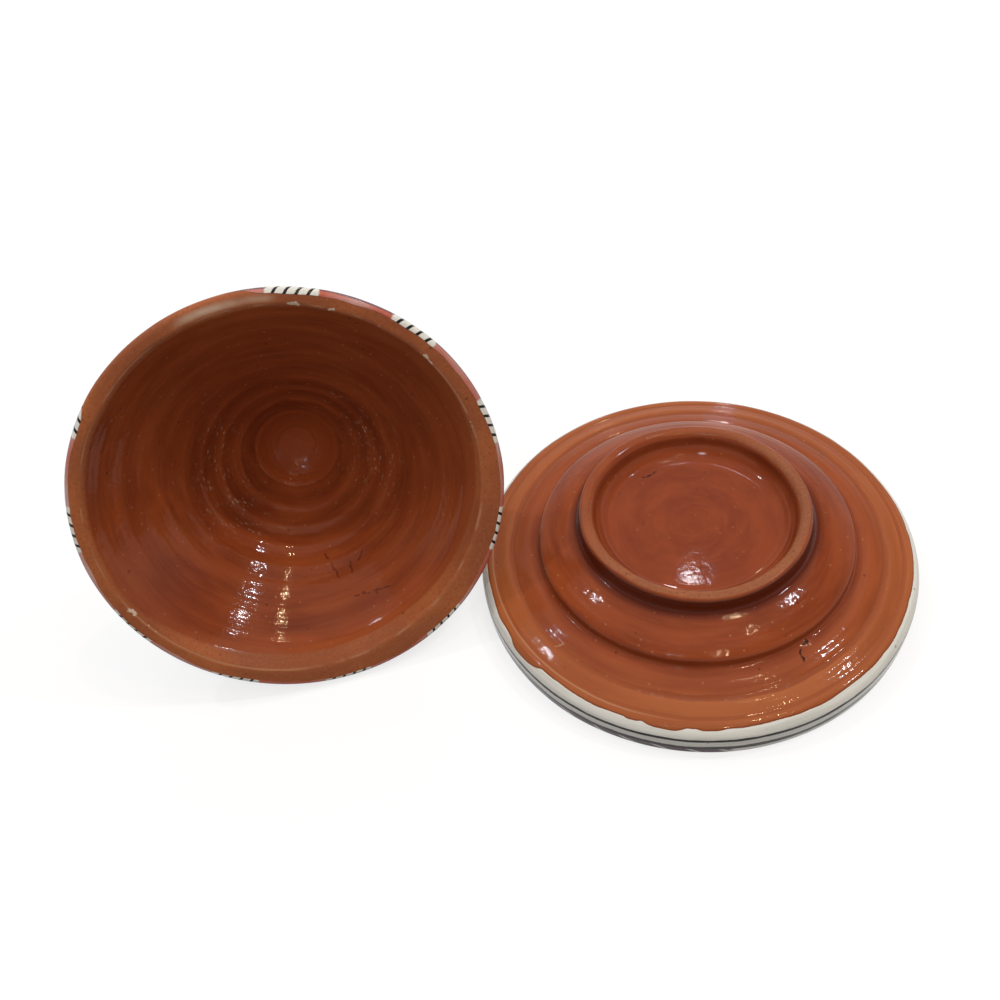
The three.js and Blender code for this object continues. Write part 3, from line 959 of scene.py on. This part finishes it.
CORAL_BANDS = [(49.2 * MM, 53.0 * MM), (lid_top_up - 9.0 * MM, lid_top_way)]
TICK_BANDS = [(56.5 * MM, 64.0 * MM), (knob_up + 3.0 * MM, knob_up + 9.0 * MM)]
LID_LINES = [(up * MM, 0.7 * MM) for up in (7.6, 9.2, 46.4, 48.2, 54.2)]
LID_LINES += [(up, 0.8 * MM) for up in (neck_up, knob_up + 1.2 * MM, lid_top_up - 10.2 * MM)]

lid_material = bpy.data.materials.new("lid_glazed_terracotta")
lid_material.use_nodes = True
tree = lid_material.node_tree
place, way, raised, lying = thrown_place(tree)
facing = wheel_facing(tree, place)
marks = use_group(tree, wheel_marks, place, way)
skin = use_group(tree, glaze_skin, lying)
colour = mixed(tree, HOLLOW_PALER, glazed_clay(tree, marks, skin, raised), CLAY_STREAK)
tip = soft_step(tree, way, tip_edge_way, tip_edge_way - TIP_EDGE_WIDTH)
sideways = calc(tree, "ABSOLUTE", vector_calc(tree, "DOT_PRODUCT", facing, (1, 0, 0)))
# Sand grains on both sides of the hollow, raised, and painted pale as glints along the rings
sand_and_painted_glints = soft_band(tree, way, tip_edge_way + SANDY_WAY, SANDY_REACH)
sand_and_painted_glints = share(tree, sand_and_painted_glints, soft_step(tree, sideways, *SANDY_SIDES))
sand_and_painted_glints = share(tree, sand_and_painted_glints, soft_step(tree, skin["Lump"], *SANDY_PATCHES))
grains = spots(tree, round_the_wheel(tree, place, way, SAND_AROUND, SAND_ALONG), 1.0, *SAND_SIZE)
sand_and_painted_glints = share(tree, sand_and_painted_glints, share(tree, grains, marks["Fine"]))
# The tip painted lighter and warmer as painted light, and the sand grains painted pale as glints
colour = layered(tree, colour, [
    (tip, TIP_PAINTED_LIGHT, CLAY_WARM),
    (sand_and_painted_glints, SAND_GLINT_PALE, CHIP_AND_GLINT_CREAM),
    (scratched(tree, place, hollow_marks), HOLLOW_MARK_DARK, CLAY_POOL_AND_SHADE),
])
bare = 0.0
for start, lean in LIP_WIPED:
    wiped = coated(tree, place, way, lip_inner_way + start, LIP_WIPED_WANDER, lean, LIP_WIPED_BLUR)
    bare = calc(tree, "MAXIMUM", bare, wiped)
colour = mixed(tree, bare, colour, bare_clay(tree, marks, skin, LIP_COARSE))
# The pale line along the lip's inner edge: worn clay and a painted edge highlight
unbroken = soft_step(tree, mottle(tree, place, EDGE_LINE_BREAKS, 2.0), *EDGE_LINE_BREAK_STEP)
unbroken = calc(tree, "MAXIMUM", unbroken, on_side(tree, facing, EDGE_LINE_SIDE, *EDGE_LINE_ENDS))
worn_and_lit_edge = share(tree, brushed(tree, place, way, lip_inner_way, LIP_EDGE_LINE_WIDTH), unbroken)
# A painted sheen on the upper lip
painted_sheen = soft_band(tree, way, lip_inner_way + LIP_SHEEN_REACH, LIP_SHEEN_REACH)
painted_sheen = share(tree, painted_sheen, on_side(tree, facing, LIP_SHEEN_SIDE, *LIP_SHEEN_ENDS))
colour = layered(tree, colour, [
    (worn_and_lit_edge, LIP_EDGE_LINE_PALE, CLAY_SANDY),
    (painted_sheen, skin["Fire"], CHIP_AND_GLINT_CREAM),
    (scratched(tree, place, lip_chips), 1.0, CHIP_AND_GLINT_CREAM),
])
drawn_up = on_side(tree, facing, LID_SLIP_SIDE, *LID_SLIP_ENDS)
slip_start = calc(tree, "MULTIPLY_ADD", drawn_up, LID_SLIP_DRAWN_UP, lip_outer_way + LID_SLIP_START)
slip = coated(tree, place, way, slip_start, SLIP_WANDER, NO_LEAN, SLIP_BLUR)
painted = white_slip(tree, marks, skin)

# Bands, petals and rings brushed on the slip by hand, each measured up the outside from the lip
turn = wheel_turn(tree, place)
girth = wheel_girth(tree, place)
shake = calc(tree, "SUBTRACT", mottle(tree, place, HAND_SHAKE_SCALE, 2.0), 0.5)
up = calc(tree, "MULTIPLY_ADD", shake, HAND_SHAKE, calc(tree, "SUBTRACT", way, lip_outer_way))


def painted_between(start, end):
    """The part of the outside between two distances up from the lip."""
    started = soft_step(tree, up, start, start + BRUSH_EDGE)
    return share(tree, started, soft_step(tree, up, end, end - BRUSH_EDGE))


def strokes_round(count, slant, width):
    """Slanted brush strokes spaced round the outside, of a width that is a share of their spacing."""
    aside = beside(tree, turn, count, calc(tree, "MULTIPLY", up, slant))
    return soft_step(tree, calc(tree, "ABSOLUTE", aside), width / 2, width / 2 - TICK_SOFT)


def petals(shift, start, end, share_of_spacing):
    """Pointed petals spaced round the outside: how far inside the edge of the nearest one a place lies."""
    climb = calc(tree, "DIVIDE", calc(tree, "SUBTRACT", up, start), end - start)
    climb = calc(tree, "MINIMUM", calc(tree, "MAXIMUM", climb, 0.0), 1.0)
    swell = calc(tree, "SINE", calc(tree, "MULTIPLY", calc(tree, "POWER", climb, PETAL_BELLY), math.pi))
    aside = calc(tree, "ABSOLUTE", beside(tree, turn, PETAL_COUNT, shift))
    inside = calc(tree, "SUBTRACT", calc(tree, "MULTIPLY", swell, share_of_spacing), aside)
    inside = calc(tree, "MULTIPLY", inside, calc(tree, "DIVIDE", girth, PETAL_COUNT))
    ends = calc(tree, "MINIMUM", calc(tree, "SUBTRACT", up, start), calc(tree, "SUBTRACT", end, up))
    return calc(tree, "MINIMUM", inside, ends)


panel = soft_step(tree, calc(tree, "ABSOLUTE", beside(tree, turn, PANEL_COUNT, PANEL_SHIFT)), *PANEL_EDGE)
panel_paint = mixed(tree, skin["Fire"], PAINT_CORAL, PAINT_PINK)
panel_paint = mixed(tree, soft_step(tree, up, *PANEL_BLEED), panel_paint, PAINT_PLUM)
border = painted_between(*BORDER)
painted = mixed(tree, share(tree, border, panel), painted, panel_paint)
ticks = share(tree, strokes_round(TICK_COUNT, TICK_SLANT, TICK_WIDTH), inverse(tree, panel))
painted = mixed(tree, share(tree, border, ticks), painted, PAINT_BLACK)
for shift, start, end, width, tint in PETAL_ROWS:
    inside = petals(shift, start, end, width)
    painted = mixed(tree, soft_step(tree, inside, -PETAL_LINE, -PETAL_LINE / 2), painted, PAINT_BLACK)
    painted = mixed(tree, soft_step(tree, inside, 0.0, PETAL_LINE / 2), painted, tint)
for start, end in CORAL_BANDS:
    painted = mixed(tree, painted_between(start, end), painted, PAINT_CORAL)
for start, end in TICK_BANDS:
    ticks = strokes_round(NECK_TICK_COUNT, TICK_SLANT, NECK_TICK_WIDTH)
    painted = mixed(tree, share(tree, painted_between(start, end), ticks), painted, PAINT_BLACK)
for distance, width in LID_LINES:
    painted = mixed(tree, brushed(tree, place, way, lip_outer_way + distance, width), painted, PAINT_BLACK)
colour = mixed(tree, slip, colour, painted)
height = fired_height(tree, marks, skin, bare, slip)
height = calc(tree, "MULTIPLY_ADD", sand_and_painted_glints, SAND_RISE, height)
height = calc(tree, "MULTIPLY_ADD", share(tree, tip, skin["Lump"]), TIP_LUMPS, height)
dull = calc(tree, "MAXIMUM", bare, soft_step(tree, way, *TIP_DULL))
finish(lid_material, colour, fired_roughness(tree, dull, slip), height)
lid.data.materials.append(lid_material)
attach(lid, "lid")
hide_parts("lid")

# The table: a plain white sheet that both pieces lie on, wide enough to fill the picture.
# It is seen as white where no shadow falls.
FLOOR_SIZE = 8.0
FLOOR_GAP = 0.1 * MM
FLOOR_GREY = (0.28, 0.28, 0.28, 1)
FLOOR_GLOW = 0.74

floor_sheet = bmesh.new()
bmesh.ops.create_grid(floor_sheet, x_segments=1, y_segments=1, size=FLOOR_SIZE / 2,
                      matrix=Matrix.Translation((0, 0, -FLOOR_GAP)))
floor_mesh = bpy.data.meshes.new("white_table")
floor_sheet.to_mesh(floor_mesh)
floor_sheet.free()
floor = bpy.data.objects.new("white_table", floor_mesh)
bpy.context.scene.collection.objects.link(floor)
floor_material = bpy.data.materials.new("white_table")
floor_material.use_nodes = True
tree = floor_material.node_tree
tree.nodes.remove(tree.nodes["Principled BSDF"])


def seen(tree):
    """Where a surface is looked at, straight or in the glaze, and doesn't light anything."""
    ray = add_node(tree, "ShaderNodeLightPath").outputs
    looked_at = calc(tree, "MAXIMUM", ray["Is Camera Ray"], ray["Is Glossy Ray"])
    return calc(tree, "MAXIMUM", looked_at, ray["Is Transmission Ray"])


matt = add_node(tree, "ShaderNodeBsdfDiffuse", {"Color": FLOOR_GREY})
glow = add_node(tree, "ShaderNodeEmission", {"Strength": share(tree, seen(tree), FLOOR_GLOW)})
both = add_node(tree, "ShaderNodeAddShader", {0: matt.outputs["BSDF"], 1: glow.outputs["Emission"]})
feed(tree, tree.nodes["Material Output"].inputs["Surface"], both.outputs["Shader"])
floor.data.materials.append(floor_material)

# The light: a dim room, a wide pale ceiling, and small lamps round the table that the glaze mirrors.
# A lamp has a bearing in degrees, clockwise from straight behind the pieces, a height in degrees, and a
# level, which is the share of a white sheet's brightness that it gives by itself.
ROOM_COLOUR = (0.95, 0.97, 1.0, 1)
ROOM_STRENGTH = 0.36
ROOM_HORIZON = 1.0
ROOM_OVERHEAD = 0.3
OVERHEAD_STEP = (0.1, 0.7)
AIM = Vector((0, -10, 20)) * MM
LAMP_DISTANCE = 1.4
COOL = (0.92, 0.95, 1.0)
WARM = (1.0, 0.74, 0.42)
WHITE = (1.0, 1.0, 1.0)
lamps = {
    # name: bearing, height, size, level, colour
    "ceiling": (0, 74, 2.4, 0.29, WHITE),
    "right_lamp": (86, 56, 0.04, 0.14, COOL),
    "left_lamp": (-64, 58, 0.03, 0.12, COOL),
    "back_lamp": (20, 52.6, 0.022, 0.006, COOL),
    "back_low_lamp": (22, 21, 0.04, 0.05, COOL),
    "back_warm_lamp": (5, 24, 0.035, 0.04, WARM),
    "warm_lamp": (77, 74, 0.035, 0.1, WARM),
    "front_warm_lamp": (119, 66, 0.03, 0.045, WARM),
    "front_lamp": (166, 61, 0.034, 0.08, WARM),
    "front_left_lamp": (-158, 57, 0.034, 0.075, COOL),
}
for name, (bearing, rise, size, level, tint) in lamps.items():
    light = bpy.data.lights.new(name, "AREA")
    light.shape = "DISK"
    light.size = size
    light.energy = math.pi ** 2 * level * (LAMP_DISTANCE ** 2 + (size / 2) ** 2)
    light.color = tint
    out = math.cos(math.radians(rise))
    turn = math.radians(bearing)
    towards = Vector((math.sin(turn) * out, math.cos(turn) * out, math.sin(math.radians(rise))))
    facing_table = towards.to_track_quat("Z", "Y").to_matrix().to_4x4()
    lamp = bpy.data.objects.new(name, light)
    lamp.matrix_world = Matrix.Translation(AIM + towards * LAMP_DISTANCE) @ facing_table
    bpy.context.scene.collection.objects.link(lamp)

room = bpy.data.worlds.new("pale_room")
room.use_nodes = True
tree = room.node_tree
tree.nodes["Background"].inputs["Color"].default_value = ROOM_COLOUR
generated = add_node(tree, "ShaderNodeTexCoord").outputs["Generated"]
skyward = add_node(tree, "ShaderNodeSeparateXYZ", {"Vector": generated}).outputs["Z"]
overhead = soft_step(tree, skyward, *OVERHEAD_STEP)
looked_at = calc(tree, "MULTIPLY_ADD", overhead, ROOM_OVERHEAD - ROOM_HORIZON, ROOM_HORIZON - ROOM_STRENGTH)
brightness = calc(tree, "MULTIPLY_ADD", seen(tree), looked_at, ROOM_STRENGTH)
feed(tree, tree.nodes["Background"].inputs["Strength"], brightness)
bpy.context.scene.world = room
bpy.context.scene.view_settings.view_transform = "Standard"

# The camera: held by hand in front of the pair, looking down at it and rolled a little.
# Its place and its turns are those at which the outlines of both pieces fall as they are seen.
CAMERA_PLACE = Vector((-2.43, -188.12, 230.69)) * MM
CAMERA_PITCH = math.radians(47.77)
CAMERA_ROLL = math.radians(-9.72)
CAMERA_LENS = 36.0
CAMERA_SENSOR = 36.0
CAMERA_NEAR = 10 * MM

view = bpy.data.cameras.new("photographer")
view.lens = CAMERA_LENS
view.sensor_width = CAMERA_SENSOR
view.clip_start = CAMERA_NEAR
camera = bpy.data.objects.new("photographer", view)
camera.matrix_world = (
    Matrix.Translation(CAMERA_PLACE)
    @ Matrix.Rotation(math.pi / 2 - CAMERA_PITCH, 4, "X")
    @ Matrix.Rotation(CAMERA_ROLL, 4, "Z")
)
bpy.context.scene.collection.objects.link(camera)
bpy.context.scene.camera = camera
